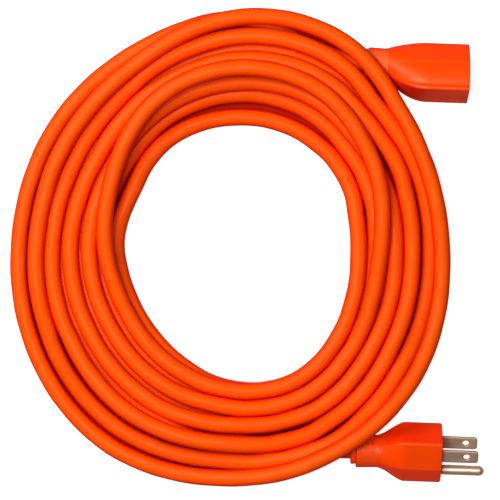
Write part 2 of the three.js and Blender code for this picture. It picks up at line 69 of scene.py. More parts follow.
# section of both ends: u across the blades, v away from the ground pin, in millimetres
HALF_WIDTH, TOP, SHOULDER = 10.3, 8.9, -6.1
TIP_AT, TIP_RADIUS = -11.9, 6.2
CHAMFER = math.acos(TIP_RADIUS / math.hypot(HALF_WIDTH, SHOULDER - TIP_AT)) \
    - math.atan2(SHOULDER - TIP_AT, HALF_WIDTH)
WALL = 1.3
CORD_DIAMETER = 8.2
CLEARANCE = 0.3
BEAD_AT, BEAD_HALF_WIDTH = 0.07, 0.05        # a low bead along the top of a side, as shares of the side


def rounded_corner(corner, before, after, radius, count):
    """Points of an arc that rounds a corner of the section."""
    a = (before - corner).normalized()
    b = (after - corner).normalized()
    half = a.angle(b) / 2
    reach = radius / math.tan(half)
    centre = corner + (a + b).normalized() * radius / math.sin(half)
    start, end = corner + a * reach - centre, corner + b * reach - centre
    turn = start.angle_signed(end)
    base = math.atan2(start.y, start.x)
    angles = [base - turn * k / count for k in range(count + 1)]
    return [centre + radius * Vector((math.cos(angle), math.sin(angle))) for angle in angles]


def section(inset, sizes):
    """Outline of a moulded end, drawn in by an inset, with rounded corners and crowned sides."""
    side, top, nose = HALF_WIDTH - inset, TOP - inset, TIP_RADIUS - inset
    shoulder = TIP_AT + (side * math.cos(CHAMFER) - nose) / math.sin(CHAMFER)
    tip = [Vector((nose * math.cos(a), TIP_AT + nose * math.sin(a)))
           for a in np.linspace(math.pi + CHAMFER, 2 * math.pi - CHAMFER, 17)]
    right, left = Vector((side, shoulder)), Vector((-side, shoulder))
    top_right, top_left = Vector((side, top)), Vector((-side, top))
    top_round = max(1.2 - inset, 0.25)
    side_round = max(sizes["shoulder_round"] - 1.3 * inset, 0.3)
    corners = [
        rounded_corner(top_right, right, top_left, top_round, 8),
        rounded_corner(top_left, top_right, left, top_round, 8),
        rounded_corner(left, top_left, tip[0], side_round, 8),
        tip,
        rounded_corner(right, tip[-1], top_right, side_round, 8),
    ]
    plain = [k / 8 for k in range(1, 8)]
    down_a_side = [0.016, 0.034, 0.052, 0.07, 0.088, 0.106, 0.124,
                   0.16, 0.24, 0.34, 0.45, 0.56, 0.67, 0.78, 0.89]
    up_a_side = [1 - share for share in reversed(down_a_side)]
    straights = (plain, down_a_side, plain[1::2], plain[1::2], up_a_side)
    points = []
    for k, corner in enumerate(corners):
        following = corners[(k + 1) % len(corners)][0]
        points += corner
        for share in straights[k]:
            point = corner[-1].lerp(following, share)
            from_top = share if k == 1 else 1 - share
            bead = max(1 - ((from_top - BEAD_AT) / BEAD_HALF_WIDTH) ** 2, 0) ** 2
            rise = sizes["crown"] * 4 * share * (1 - share) + sizes["bead"] * bead
            if k in (1, 4) and inset < 1:
                point = point + Vector((math.copysign(rise, point.x), 0))
            points.append(point)
    return points


def ring_at(x, inset, melt, radius, sizes):
    """One ring of a moulded end: the section, melted by a share into the round neck."""
    ring = []
    for point in section(inset, sizes):
        away = Vector((point.x, point.y - sizes["offset"]))
        away = away.lerp(away.normalized() * radius, melt)
        ring.append(Vector((x, away.x, away.y + sizes["offset"])))
    return ring


def mesh_from(name, points, faces, smooth_angle=38):
    """A piece from points and faces, welded, facing outwards and smooth except at its edges."""
    mesh = bpy.data.meshes.new(name)
    mesh.from_pydata([tuple(point) for point in points], [], faces)
    shape = bmesh.new()
    shape.from_mesh(mesh)
    bmesh.ops.remove_doubles(shape, verts=shape.verts, dist=0.002 * MM)
    bmesh.ops.recalc_face_normals(shape, faces=shape.faces)
    shape.to_mesh(mesh)
    shape.free()
    mesh.shade_smooth()
    mesh.set_sharp_from_angle(angle=math.radians(smooth_angle))
    piece = bpy.data.objects.new(name, mesh)
    scene.collection.objects.link(piece)
    return piece


def grid_through(rings, closed):
    """Points and faces of a skin through rings; closed joins the last to the first, or they are capped."""
    count = len(rings[0])
    points = [point for ring in rings for point in ring]
    faces = []
    for r in range(len(rings) if closed else len(rings) - 1):
        after = (r + 1) % len(rings)
        for k in range(count):
            b = (k + 1) % count
            faces.append((r * count + k, r * count + b, after * count + b, after * count + k))
    if not closed:
        faces.append(tuple(reversed(range(count))))
        faces.append(tuple(range((len(rings) - 1) * count, len(rings) * count)))
    return points, faces


def melt_at(share, sizes):
    """How far the section has melted into the neck, at a share of the flare."""
    bent = share ** sizes["flare_power"]
    return bent + sizes["flare_rounding"] * (share * share * (3 - 2 * share) - bent)


def turn_of(place):
    """How an end lies: turned about its length, with the ground pin towards the pile's other end."""
    (x, y), tilt = place
    return Matrix.Rotation(tilt - math.pi / 2 if y < 0 else math.pi / 2 - tilt, 3, "X")


def placed(points, place):
    """From an end's own millimetres, X forward and Z away from the pin, to the row frame in metres."""
    (x, y), tilt = place
    rest = HALF_WIDTH * math.cos(tilt) - SHOULDER * math.sin(tilt)
    shift = Vector((x, y, rest)) * MM + Vector((PILE_MIDDLE.x, PILE_MIDDLE.y, 0))
    return [turn_of(place) @ Vector(point) * MM + shift for point in points]


def joined(piece, tool, operation):
    """Cuts a tool from a piece, or adds it, and removes the tool."""
    work = piece.modifiers.new("work", "BOOLEAN")
    work.operation, work.object, work.solver = operation, tool, "EXACT"
    bpy.context.view_layer.update()
    result = piece.evaluated_get(bpy.context.evaluated_depsgraph_get())
    mesh = bpy.data.meshes.new_from_object(result)
    piece.modifiers.clear()
    piece.data = mesh
    mesh.shade_smooth()
    mesh.set_sharp_from_angle(angle=math.radians(38))
    bpy.data.objects.remove(tool)
    return piece


def round_bar(name, profile, u, v, place, sides=48):
    """A turned piece along X from (radius, x) pairs, with both of its ends closed."""
    angles = [2 * math.pi * k / sides for k in range(sides)]
    rings = [[Vector((x, u + radius * math.cos(a), v + radius * math.sin(a))) for a in angles]
             for radius, x in profile]
    points, faces = grid_through(rings, closed=False)
    return mesh_from(name, placed(points, place), faces)


def neck_mark(name, sizes, place, back, lean, radius, depth, sides):
    """A tool for a small pit or nub in a neck, which leans from straight up towards -Y."""
    middle = Vector((-sizes["body"] - sizes["flare"] - back, 0, sizes["offset"]))
    out = turn_of(place).inverted() @ Vector((0, -math.sin(lean), math.cos(lean)))
    side = out.cross(Vector((1, 0, 0)))
    wall = sizes["front"] + (sizes["rear"] - sizes["front"]) * back / sizes["neck"]
    angles = [2 * math.pi * k / sides for k in range(sides)]
    rings = [[middle + out * reach + radius * girth * (math.cos(a) * Vector((1, 0, 0)) + math.sin(a) * side)
              for a in angles]
             for reach, girth in ((wall - depth, 1.0), (wall + depth * 0.6, 1.0), (wall + depth, 0.6))]
    points, faces = grid_through(rings, closed=False)
    return mesh_from(name, placed(points, place), faces)


PLUG = dict(body=18.4, flare=12.8, flare_power=1, flare_rounding=0.45, neck=12.9, offset=-2.5,
            front=7.9, rear=8.35, collar=6.7, collar_length=2, block=10, crimp_length=6,
            ledge=0.0, shoulder_round=1.0, crown=0.15, bead=0.0)
PLUG_AT = ((105.7, -94), CHAMFER)


def moulded_cover(name, sizes, place):
    """Cover of one end: outside skin, front rim, hollow for the insert and bore for the cord."""
    neck_x = -sizes["body"] - sizes["flare"]
    end_x = neck_x - sizes["neck"]
    front, rear, ledge = sizes["front"], sizes["rear"], sizes["ledge"]
    flare_steps = 22
    rim = 0.7
    rings = [ring_at(rim * math.cos(a) - rim, rim - rim * math.sin(a), 0, 1, sizes)
             for a in np.linspace(0, math.pi / 2, 6)]
    rings += [ring_at(x, 0, 0, 1, sizes) for x in np.linspace(-2, 0.6 - sizes["body"], 12)]
    for k in range(flare_steps + 1):
        share = k / flare_steps
        x = -sizes["body"] - share * sizes["flare"]
        rings.append(ring_at(x, 0, melt_at(share, sizes), front + ledge * share, sizes))
    if ledge:
        for back, drop in ((0.10, 0.08), (0.22, 0.5), (0.34, 0.9), (0.6, 1.0)):
            rings.append(ring_at(neck_x - back, 0, 1, front + ledge * (1 - drop), sizes))
    groove = end_x + sizes["collar_length"]
    first, last = neck_x - 1.4, groove + 0.9
    for x in np.linspace(first, last, 12):
        share = (first - x) / (first - last)
        rings.append(ring_at(x, 0, 1, front + (rear - front) * share, sizes))
    collar = sizes["collar"]
    profile = [(groove + 0.75, rear - 0.08), (groove + 0.62, rear - 0.35), (groove + 0.5, collar + 0.3),
               (groove + 0.42, collar - 0.2), (groove + 0.3, collar - 0.35), (groove + 0.1, collar - 0.2),
               (groove, collar), (end_x + 0.6, collar), (end_x + 0.25, collar - 0.1),
               (end_x + 0.06, collar - 0.3), (end_x, collar - 0.6)]
    bore = CORD_DIAMETER / 2 + CLEARANCE
    profile += [(end_x, bore + 0.15), (end_x + 0.15, bore), (neck_x - 3, bore)]
    rings += [ring_at(x, 0, 1, radius, sizes) for x, radius in profile]
    for share in np.linspace(1, 0, 9):
        x = -sizes["body"] - share * sizes["flare"]
        rings.append(ring_at(x, WALL, melt_at(share, sizes), front - WALL, sizes))
    rings += [ring_at(-0.25, WALL, 0, 1, sizes), ring_at(0, WALL - 0.15, 0, 1, sizes)]
    points, faces = grid_through(rings, closed=True)
    return mesh_from(name, placed(points, place), faces)


def mark_cover(piece, sizes, place, strength):
    """Stores what belongs to the neck, which the mould leaves more matt, and what faces upward, which sets
    the painted shade down the sides.
    """
    edge = place[0][0] * MM + PILE_MIDDLE.x - (sizes["body"] + sizes["flare"] + 0.25) * MM
    held = piece.data.attributes.new("neck", "FLOAT", "POINT")
    held.data.foreach_set("value", [strength * float(v.co.x < edge) for v in piece.data.vertices])
    turned_up = piece.data.attributes.new("upward", "FLOAT", "POINT")
    turned_up.data.foreach_set("value", [v.normal.z for v in piece.data.vertices])


def shader_group(name, inputs, outputs):
    """A shared effect: named inputs with defaults, named outputs."""
    group = bpy.data.node_groups.new(name, "ShaderNodeTree")
    for label, kind, value in inputs:
        socket = group.interface.new_socket(label, in_out="INPUT", socket_type=kind)
        if value is not None:
            socket.default_value = value
    for label, kind in outputs:
        group.interface.new_socket(label, in_out="OUTPUT", socket_type=kind)
    return group, group.nodes.new("NodeGroupInput"), group.nodes.new("NodeGroupOutput")


def add_node(tree, kind, settings=None, inputs=None):
    """Adds a node; inputs hold values, or sockets to link, by the input's name or number."""
    node = tree.nodes.new(kind)
    for key, value in (settings or {}).items():
        setattr(node, key, value)
    for key, value in (inputs or {}).items():
        if isinstance(value, bpy.types.NodeSocket):
            tree.links.new(value, node.inputs[key])
        else:
            node.inputs[key].default_value = value
    return node


def math_of(tree, operation, *values):
    node = add_node(tree, "ShaderNodeMath", {"operation": operation}, dict(enumerate(values)))
    return node.outputs[0]


def mixed(tree, share, first, second):
    """Mix of two colours."""
    inputs = {0: share, 6: first, 7: second}
    return add_node(tree, "ShaderNodeMix", {"data_type": "RGBA"}, inputs).outputs[2]


# surface that a steel mould leaves: spark eroded grain with slow swells of the wall under it
grain, grain_in, grain_out = shader_group(
    "moulded_grain",
    [("Place", "NodeSocketVector", None), ("Grain per metre", "NodeSocketFloat", 2600.0),
     ("Grain", "NodeSocketFloat", 0.5), ("Swells per metre", "NodeSocketFloat", 140.0),
     ("Swells", "NodeSocketFloat", 0.5)],
    [("Height", "NodeSocketFloat")])
where_in = grain_in.outputs["Place"]
pits = add_node(grain, "ShaderNodeTexNoise", None,
                {"Vector": where_in, "Scale": grain_in.outputs["Grain per metre"], "Detail": 2.0})
swells = add_node(grain, "ShaderNodeTexNoise", None,
                  {"Vector": where_in, "Scale": grain_in.outputs["Swells per metre"], "Detail": 1.0})
grain.links.new(
    math_of(grain, "ADD", math_of(grain, "MULTIPLY", pits.outputs["Fac"], grain_in.outputs["Grain"]),
            math_of(grain, "MULTIPLY", swells.outputs["Fac"], grain_in.outputs["Swells"])),
    grain_out.inputs["Height"])

# marks of handling: patches where dust and rubbing have dulled the surface, and short scratches
marks, marks_in, marks_out = shader_group(
    "handling_marks",
    [("Place", "NodeSocketVector", None), ("Patches per metre", "NodeSocketFloat", 60.0),
     ("Cover", "NodeSocketFloat", 0.45), ("Scratches per metre", "NodeSocketFloat", 300.0)],
    [("Dull", "NodeSocketFloat"), ("Scratch", "NodeSocketFloat")])
where_in = marks_in.outputs["Place"]
patches = add_node(marks, "ShaderNodeTexNoise", None,
                   {"Vector": where_in, "Scale": marks_in.outputs["Patches per metre"],
                    "Detail": 5.0, "Roughness": 0.62})
dull = add_node(marks, "ShaderNodeMapRange", {"interpolation_type": "SMOOTHSTEP"},
                {"Value": patches.outputs["Fac"],
                 "From Min": math_of(marks, "SUBTRACT", 1.0, marks_in.outputs["Cover"]),
                 "From Max": math_of(marks, "SUBTRACT", 1.22, marks_in.outputs["Cover"])})
cells = add_node(marks, "ShaderNodeTexVoronoi", {"feature": "DISTANCE_TO_EDGE"},
                 {"Vector": where_in, "Scale": marks_in.outputs["Scratches per metre"]})
hair = add_node(marks, "ShaderNodeMapRange", None,
                {"Value": cells.outputs["Distance"], "From Min": 0.0, "From Max": 0.02,
                 "To Min": 1.0, "To Max": 0.0})
marks.links.new(dull.outputs["Result"], marks_out.inputs["Dull"])
marks.links.new(math_of(marks, "MULTIPLY", hair.outputs["Result"], dull.outputs["Result"]),
                marks_out.inputs["Scratch"])


def new_material(name, metallic=0.0, specular=0.5):
    material = bpy.data.materials.new(name)
    material.use_nodes = True
    shader = material.node_tree.nodes["Principled BSDF"]
    shader.inputs["Metallic"].default_value = metallic
    shader.inputs["Specular IOR Level"].default_value = specular
    return material, material.node_tree, shader


def plastic(name, colour, worn, roughness, grain_size, grain_depth, specular=0.12, place=None,
            neck=False, lines=0.0, sides=None):
    """Coloured plastic: its own colour, the same colour dulled by handling, the mould's grain, and where
    sides is given, a painted shade that deepens the red where the surface faces away from straight up.
    """
    material, tree, shader = new_material(name, specular=specular)
    shader.inputs["Specular Tint"].default_value = (1.0, 0.72, 0.45, 1)
    if place:
        where = add_node(tree, "ShaderNodeAttribute", {"attribute_name": place}).outputs["Vector"]
    else:
        where = add_node(tree, "ShaderNodeTexCoord").outputs["Object"]
    handled = add_node(tree, "ShaderNodeGroup", {"node_tree": marks}, {"Place": where})
    slow = add_node(tree, "ShaderNodeTexNoise", None, {"Vector": where, "Scale": 24.0, "Detail": 2.0})
    deep = [0.93 * c for c in colour] + [1]
    bright = [min(1.04 * c, 1) for c in colour] + [1]
    tone = mixed(tree, slow.outputs["Fac"], deep, bright)
    tone = mixed(tree, math_of(tree, "MULTIPLY", handled.outputs["Dull"], 0.35), tone, [*worn, 1])
    gloss = math_of(tree, "MULTIPLY_ADD", handled.outputs["Dull"], 0.10, roughness)
    gloss = math_of(tree, "MULTIPLY_ADD", handled.outputs["Scratch"], 0.12, gloss)
    surface = add_node(tree, "ShaderNodeGroup", {"node_tree": grain},
                       {"Place": where, "Grain per metre": grain_size, "Grain": grain_depth})
    high = surface.outputs["Height"]
    if neck:
        matt = add_node(tree, "ShaderNodeAttribute", {"attribute_name": "neck"}).outputs["Fac"]
        tone = mixed(tree, math_of(tree, "MULTIPLY", matt, 0.85), tone, [*worn, 1])
        gloss = math_of(tree, "MULTIPLY_ADD", matt, 0.2, gloss)
    # painted shade: where the surface faces away from straight up, the colour is mixed towards the deeper red
    # given as sides
    if sides:                        # what faces away from the light is a deeper red in the photo
        upward = add_node(tree, "ShaderNodeAttribute", {"attribute_name": "upward"}).outputs["Fac"]
        level = add_node(tree, "ShaderNodeMapRange", {"interpolation_type": "SMOOTHSTEP"},
                         {"Value": upward, "From Min": 0.25, "From Max": 1.0})
        tone = mixed(tree, level.outputs["Result"], [*sides, 1], tone)
    if lines:
        stretched = add_node(tree, "ShaderNodeMapping", None,
                             {"Vector": where, "Scale": (1500.0, 1500.0, 9.0)})
        drawn = add_node(tree, "ShaderNodeTexNoise", None,
                         {"Vector": stretched.outputs["Vector"], "Scale": 1.0, "Detail": 2.0})
        high = math_of(tree, "MULTIPLY_ADD", drawn.outputs["Fac"], lines, high)
    bump = add_node(tree, "ShaderNodeBump", None, {"Height": high, "Strength": 0.35, "Distance": 0.00006})
    tree.links.new(tone, shader.inputs["Base Color"])
    tree.links.new(gloss, shader.inputs["Roughness"])
    tree.links.new(bump.outputs["Normal"], shader.inputs["Normal"])
    return material


def finished(piece, material, slot, *replaced):
    """Gives a piece its material, its body and the solids it stands for; its slot is not used."""
    piece.data.materials.clear()
    piece.data.materials.append(material)
    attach(piece, "root")
    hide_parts(*replaced)
    return piece


# sides: painted shade, a deeper red mixed in where the covers face away from straight up
moulded_vinyl = plastic("moulded_orange_vinyl", (0.97, 0.062, 0.0004), (1.0, 0.12, 0.02), 0.34,
                        2600.0, 0.5, 0.3, neck=True, sides=(0.98, 0.020, 0.0002))

plug_cover = moulded_cover("plug_cover", PLUG, PLUG_AT)
gate_pit = neck_mark("gate_pit", PLUG, PLUG_AT, 2.2, math.radians(-32), 0.9, 1.7, 20)
joined(plug_cover, gate_pit, "DIFFERENCE")
ejector_nub = neck_mark("ejector_nub", PLUG, PLUG_AT, 4.7, math.radians(36), 0.7, 0.28, 20)
joined(plug_cover, ejector_nub, "UNION")
mark_cover(plug_cover, PLUG, PLUG_AT, 0.25)
finished(plug_cover, moulded_vinyl, "moulded_vinyl", "plug_body")

# ------------------------------------------------------------------ plug insert
# A stiff block of harder vinyl spaces the blades before the cover is moulded over it. It is a
# bevelled copy of the solid, with its passages for the blades and the pin kept as they are.


def refined(name, node, bevel):
    """Copy of a solid with its flat faces merged and its sharp edges bevelled, in millimetres."""
    mesh = nodes[node].data.copy()
    mesh.name = name
    mesh.transform(nodes[node].matrix_world)
    shape = bmesh.new()
    shape.from_mesh(mesh)
    bmesh.ops.remove_doubles(shape, verts=shape.verts, dist=0.001 * MM)
    bmesh.ops.dissolve_limit(shape, angle_limit=math.radians(1), verts=shape.verts, edges=shape.edges)
    sharp = [edge for edge in shape.edges
             if edge.is_manifold and edge.calc_face_angle(0) > math.radians(50)]
    bmesh.ops.bevel(shape, geom=sharp, offset=bevel * MM, segments=2, profile=0.5, affect="EDGES",
                    clamp_overlap=True)
    bmesh.ops.triangulate(shape, faces=[face for face in shape.faces if len(face.verts) > 4])
    bmesh.ops.recalc_face_normals(shape, faces=shape.faces)
    shape.to_mesh(mesh)
    shape.free()
    mesh.shade_smooth()
    mesh.set_sharp_from_angle(angle=math.radians(38))
    piece = bpy.data.objects.new(name, mesh)
    scene.collection.objects.link(piece)
    return piece


insert_vinyl = plastic("stiff_orange_insert", (0.85, 0.070, 0.004), (0.95, 0.13, 0.02), 0.5, 1800.0, 0.7)
plug_insert = refined("plug_insert", "plug_blade_block", 0.2)
finished(plug_insert, insert_vinyl, "insert_vinyl", "plug_blade_block")

# ------------------------------------------------------------------ blades and ground pin
# Two blades are blanked from brass strip, with a detent hole and rounded corners, and the pin is
# turned with a round nose. All three are nickel plated and end in a barrel crimped on the copper.

BLADE_OFFSET, BLADE_WIDTH, BLADE_THICKNESS, BLADE_LENGTH = 6.35, 6.35, 1.5, 17.6
BLADE_CORNER, BLADE_HOLE, BLADE_HOLE_AT = 1.7, 3.2, 11.9
PIN_DIAMETER, PIN_LENGTH = 4.76, 21.2
CRIMP_AT = -PLUG["block"] - 1.2
CRIMP_RADIUS, COPPER_BORE = 2.0, 1.1
BURR = 0.16                      # rounding that tumbling leaves on the blanked edges


def plated(name, colour, tarnish, roughness, brushed):
    """Plated metal with fine lines from tumbling and use, and a little tarnish in patches."""
    material, tree, shader = new_material(name, metallic=1.0)
    where = add_node(tree, "ShaderNodeTexCoord").outputs["Object"]
    handled = add_node(tree, "ShaderNodeGroup", {"node_tree": marks},
                       {"Place": where, "Patches per metre": 220.0, "Scratches per metre": 900.0})
    tone = mixed(tree, math_of(tree, "MULTIPLY", handled.outputs["Dull"], 0.6), [*colour, 1], [*tarnish, 1])
    stretched = add_node(tree, "ShaderNodeMapping", None,
                         {"Vector": where, "Scale": (110.0, 4200.0, 4200.0)})
    lines = add_node(tree, "ShaderNodeTexNoise", None,
                     {"Vector": stretched.outputs["Vector"], "Scale": 1.0, "Detail": 3.0})
    gloss = math_of(tree, "MULTIPLY_ADD", lines.outputs["Fac"], 0.12, roughness)
    gloss = math_of(tree, "MULTIPLY_ADD", handled.outputs["Dull"], 0.15, gloss)
    high = math_of(tree, "MULTIPLY_ADD", handled.outputs["Scratch"], -0.5, lines.outputs["Fac"])
    bump = add_node(tree, "ShaderNodeBump", None, {"Height": high, "Strength": brushed, "Distance": 0.00003})
    tree.links.new(tone, shader.inputs["Base Color"])
    tree.links.new(gloss, shader.inputs["Roughness"])
    tree.links.new(bump.outputs["Normal"], shader.inputs["Normal"])
    return material


def blade(name, u):
    """A flat blade with its hole, rounded edges and crimp barrel."""
    half, tip = BLADE_WIDTH / 2, BLADE_LENGTH - BLADE_CORNER
    outline = [(CRIMP_AT, -half)]
    for v, start in ((BLADE_CORNER - half, -math.pi / 2), (half - BLADE_CORNER, 0)):
        outline += [(tip + BLADE_CORNER * math.cos(start + a), v + BLADE_CORNER * math.sin(start + a))
                    for a in np.linspace(0, math.pi / 2, 13)]
    outline.append((CRIMP_AT, half))
    rings = [[Vector((x, u + side, v)) for x, v in outline]
             for side in (-BLADE_THICKNESS / 2, BLADE_THICKNESS / 2)]
    points, faces = grid_through(rings, closed=False)
    piece = mesh_from(name, placed(points, PLUG_AT), faces)
    angles = [2 * math.pi * k / 48 for k in range(48)]
    rings = [[Vector((BLADE_HOLE_AT, u + side, 0))
              + BLADE_HOLE / 2 * Vector((math.cos(a), 0, math.sin(a))) for a in angles] for side in (-3, 3)]
    points, faces = grid_through(rings, closed=False)
    joined(piece, mesh_from("drill", placed(points, PLUG_AT), faces), "DIFFERENCE")
    shape = bmesh.new()
    shape.from_mesh(piece.data)
    bmesh.ops.remove_doubles(shape, verts=shape.verts, dist=0.001 * MM)
    bmesh.ops.dissolve_limit(shape, angle_limit=math.radians(1), verts=shape.verts, edges=shape.edges)
    edges = [edge for edge in shape.edges if edge.is_manifold and edge.calc_face_angle(0) > math.radians(50)]
    bmesh.ops.bevel(shape, geom=edges, offset=BURR * MM, segments=3, profile=0.5, affect="EDGES",
                    clamp_overlap=True)
    bmesh.ops.triangulate(shape, faces=[face for face in shape.faces if len(face.verts) > 4])
    shape.to_mesh(piece.data)
    shape.free()
    rear = CRIMP_AT - PLUG["crimp_length"]
    waist = (CRIMP_AT + 0.6 + rear) / 2
    barrel = [(CRIMP_RADIUS, CRIMP_AT + 0.6), (CRIMP_RADIUS, waist + 1.2), (CRIMP_RADIUS - 0.15, waist + 0.7),
              (CRIMP_RADIUS - 0.15, waist - 0.7), (CRIMP_RADIUS, waist - 1.2), (CRIMP_RADIUS, rear + 0.15),
              (CRIMP_RADIUS - 0.15, rear), (COPPER_BORE, rear), (COPPER_BORE, CRIMP_AT - 0.6)]
    joined(piece, round_bar("barrel", barrel, u, 0, PLUG_AT, 32), "UNION")
    return piece


nickelled_brass = plated("nickelled_brass", (0.80, 0.62, 0.46), (0.62, 0.45, 0.30), 0.50, 0.25)
nickelled_pin = plated("nickelled_pin", (0.88, 0.74, 0.58), (0.66, 0.52, 0.38), 0.42, 0.2)
for name, u in (("blade_line", BLADE_OFFSET), ("blade_neutral", -BLADE_OFFSET)):
    finished(blade(name, u), nickelled_brass, "blade_metal", "plug_" + name)

pin_radius = PIN_DIAMETER / 2
pin_profile = [(pin_radius * math.cos(a), PIN_LENGTH - pin_radius + pin_radius * math.sin(a))
               for a in np.linspace(math.pi / 2 - 0.03, 0, 12)]
pin_profile += [(pin_radius, CRIMP_AT + 0.2), (pin_radius - 0.2, CRIMP_AT), (CRIMP_RADIUS, CRIMP_AT),
                (CRIMP_RADIUS, CRIMP_AT - PLUG["crimp_length"] + 0.15),
                (CRIMP_RADIUS - 0.15, CRIMP_AT - PLUG["crimp_length"]),
                (COPPER_BORE, CRIMP_AT - PLUG["crimp_length"]), (COPPER_BORE, CRIMP_AT - 0.6)]
ground_pin = round_bar("ground_pin", pin_profile, 0, TIP_AT, PLUG_AT)
finished(ground_pin, nickelled_pin, "blade_metal", "plug_ground_pin")

# ------------------------------------------------------------------ connector cover
# The connector's cover is moulded like the plug's, longer and with its neck nearer the middle of
# the section. A low ledge ends the polished flare, and the neck behind it is left matt.

CONNECTOR = dict(body=19.8, flare=19.6, flare_power=2, flare_rounding=0, neck=11.4, offset=-6.8,
                 front=7.6, rear=7.9, collar=7.2, collar_length=1.2, ledge=0.35,
                 shoulder_round=4.5, crown=1.4, bead=0.45)
CONNECTOR_AT = ((112.6, 85.6), math.radians(16))
connector_cover = moulded_cover("connector_cover", CONNECTOR, CONNECTOR_AT)
core_pit = neck_mark("core_pit", CONNECTOR, CONNECTOR_AT, 5.8, math.radians(-9), 1.15, 0.9, 3)
joined(connector_cover, core_pit, "DIFFERENCE")
mark_cover(connector_cover, CONNECTOR, CONNECTOR_AT, 1.0)
finished(connector_cover, moulded_vinyl, "moulded_vinyl", "connector_body")

# ------------------------------------------------------------------ connector insert and contacts
# The insert has the slots for the blades and the hole for the pin, with a chamber behind each. The
# contacts are folded from spring bronze, and a split sleeve grips the pin.

connector_insert = refined("connector_insert", "connector_contact_block", 0.15)
finished(connector_insert, insert_vinyl, "insert_vinyl", "connector_contact_block")
spring_bronze = plated("spring_bronze", (0.66, 0.43, 0.20), (0.42, 0.24, 0.10), 0.28, 0.25)
for core in ("line", "neutral", "ground"):
    contact = refined("contact_" + core, "connector_contact_" + core, 0.08)
    finished(contact, spring_bronze, "contact_metal", "connector_contact_" + core)

# ------------------------------------------------------------------ cores of the cord
# Inside each end the jacket is stripped and the three stranded cores fan out to their crimps. The
# insulation is extruded vinyl in black, white and green, and the copper is bare at the barrels.

insulation = {
    "line": plastic("black_insulation", (0.012, 0.012, 0.013), (0.05, 0.05, 0.05), 0.42, 2200.0, 0.3, 0.5),
    "neutral": plastic("white_insulation", (0.80, 0.80, 0.77), (0.70, 0.68, 0.62), 0.45, 2200.0, 0.3, 0.5),
    "ground": plastic("green_insulation", (0.015, 0.19, 0.045), (0.06, 0.26, 0.10), 0.42, 2200.0, 0.3, 0.5),
}
bare_copper = plated("bare_copper", (0.80, 0.42, 0.25), (0.45, 0.19, 0.10), 0.3, 0.5)
stripped_jacket = plastic("stripped_jacket", (1.0, 0.088, 0.0008), (1.0, 0.15, 0.010), 0.38, 1500.0, 0.35)
for end in ("plug", "connector"):
    shown_as = {f"{end}_jacket_end": stripped_jacket}
    for core, material in insulation.items():
        shown_as[f"{end}_wire_{core}"] = material
        shown_as[f"{end}_copper_{core}"] = bare_copper
    for node, material in shown_as.items():
        for held in nodes[node].material_slots:
            held.material = material

# ------------------------------------------------------------------ cord
# One length of round three-core flexible cord with a satin vinyl jacket, wound by hand into a flat
# pile. The jacket shows the lay of the cores as very low lobes that turn slowly along it.

LOOPS, STEPS = 9.5, 24           # loops from the plug to the connector, and steps in each
STRAND_GAP = 0.65
LANE_PITCH = 9.1
TURN_AROUND = 3.6                # loop at which the lanes, wound inward so far, turn outward again
LANE_SHIFT_AT = 330              # bearing at which the cord moves to the next lane
# distances from the pile's middle to its outer and inner strands, every 30 degrees
OUTER_REACH = (103.6, 104.4, 115.5, 116, 109.2, 105.7, 105.2, 110, 115.3, 113.4, 111.6, 109.6)
INNER_REACH = (60.8, 63.6, 63.4, 60.4, 58.3, 52.3, 52.6, 51.4, 55.4, 63, 67.2, 63)
LANES_ACROSS = (5.6, 5.3, 4.85, 4.85, 5.3, 5.6, 5.6, 5.6, 5.6, 5.6, 5.6, 5.6)
CROSSING = (4.2, 4.8, 18)        # one loop swings out across the others, this far
DIVE_FROM, DIVE_DEPTH = 9.33, 4  # the last of the cord goes under the others
TUCK = (7.56, 8.1)               # one part lies under the loops wound before it
FREE_LANE = (7.93, 8.15, 8.37, 8.57)         # a lane is left free here, and taken again
SPACING = CORD_DIAMETER + STRAND_GAP
RADIUS = CORD_DIAMETER / 2


def smoothstep(x, low, high):
    s = min(max((x - low) / (high - low), 0), 1)
    return s * s * (3 - 2 * s)


def round_the_pile(values, degrees):
    """Smooth value of a list round the pile, whose values are 30 degrees apart."""
    place = degrees % 360 / 30
    k, s = int(place), place % 1
    a, b, c, d = (values[(k + step) % 12] for step in (-1, 0, 1, 2))
    return b + 0.5 * s * (c - a + s * (2 * a - 5 * b + 4 * c - d + s * (3 * (b - c) + d - a)))


def swing_out(loop, low, high, out):
    middle = (low + high) / 2
    return out * smoothstep(loop, low, middle) * (1 - smoothstep(loop, middle, high))


def reach_of(loop, degrees):
    """Distance of the cord from the pile's middle, after so many loops from the plug."""
    free = smoothstep(loop, *FREE_LANE[:2]) * (1 - smoothstep(loop, *FREE_LANE[2:]))
    inner = round_the_pile(INNER_REACH, degrees)
    whole = round_the_pile(OUTER_REACH, degrees) - inner
    width = whole - free * (SPACING + 0.2)
    unevenness = math.sin(math.radians(LANE_SHIFT_AT - degrees)) / (2 * math.pi)
    pitch = max(LANE_PITCH, whole / round_the_pile(LANES_ACROSS, degrees))
    lane = pitch * abs(loop + unevenness - TURN_AROUND)
    squeezed = (lane + width - math.hypot(lane - width, 2)) / 2
    dive = DIVE_DEPTH * smoothstep(loop, DIVE_FROM, LOOPS)
    return inner + squeezed + swing_out(loop, *CROSSING) - dive


def laid(loop):
    """Order in which the loops are laid."""
    if loop > DIVE_FROM + 0.5 / STEPS:
        return -1
    if TUCK[0] < loop < TUCK[1]:
        return 1
    return LOOPS + 1 if CROSSING[0] < loop < CROSSING[1] else loop


stations = []
for k in range(int(LOOPS * STEPS) + 1):
    loop = k / STEPS
    degrees = (270 - 360 * loop) % 360
    stations.append([degrees, reach_of(loop, degrees), laid(loop), RADIUS])


def neck_end(sizes, place):
    x = -sizes["body"] - sizes["flare"] - sizes["neck"]
    point = placed([(x, 0, sizes["offset"])], place)[0]
    return (point.x - PILE_MIDDLE.x) / MM, (point.y - PILE_MIDDLE.y) / MM, point.z / MM


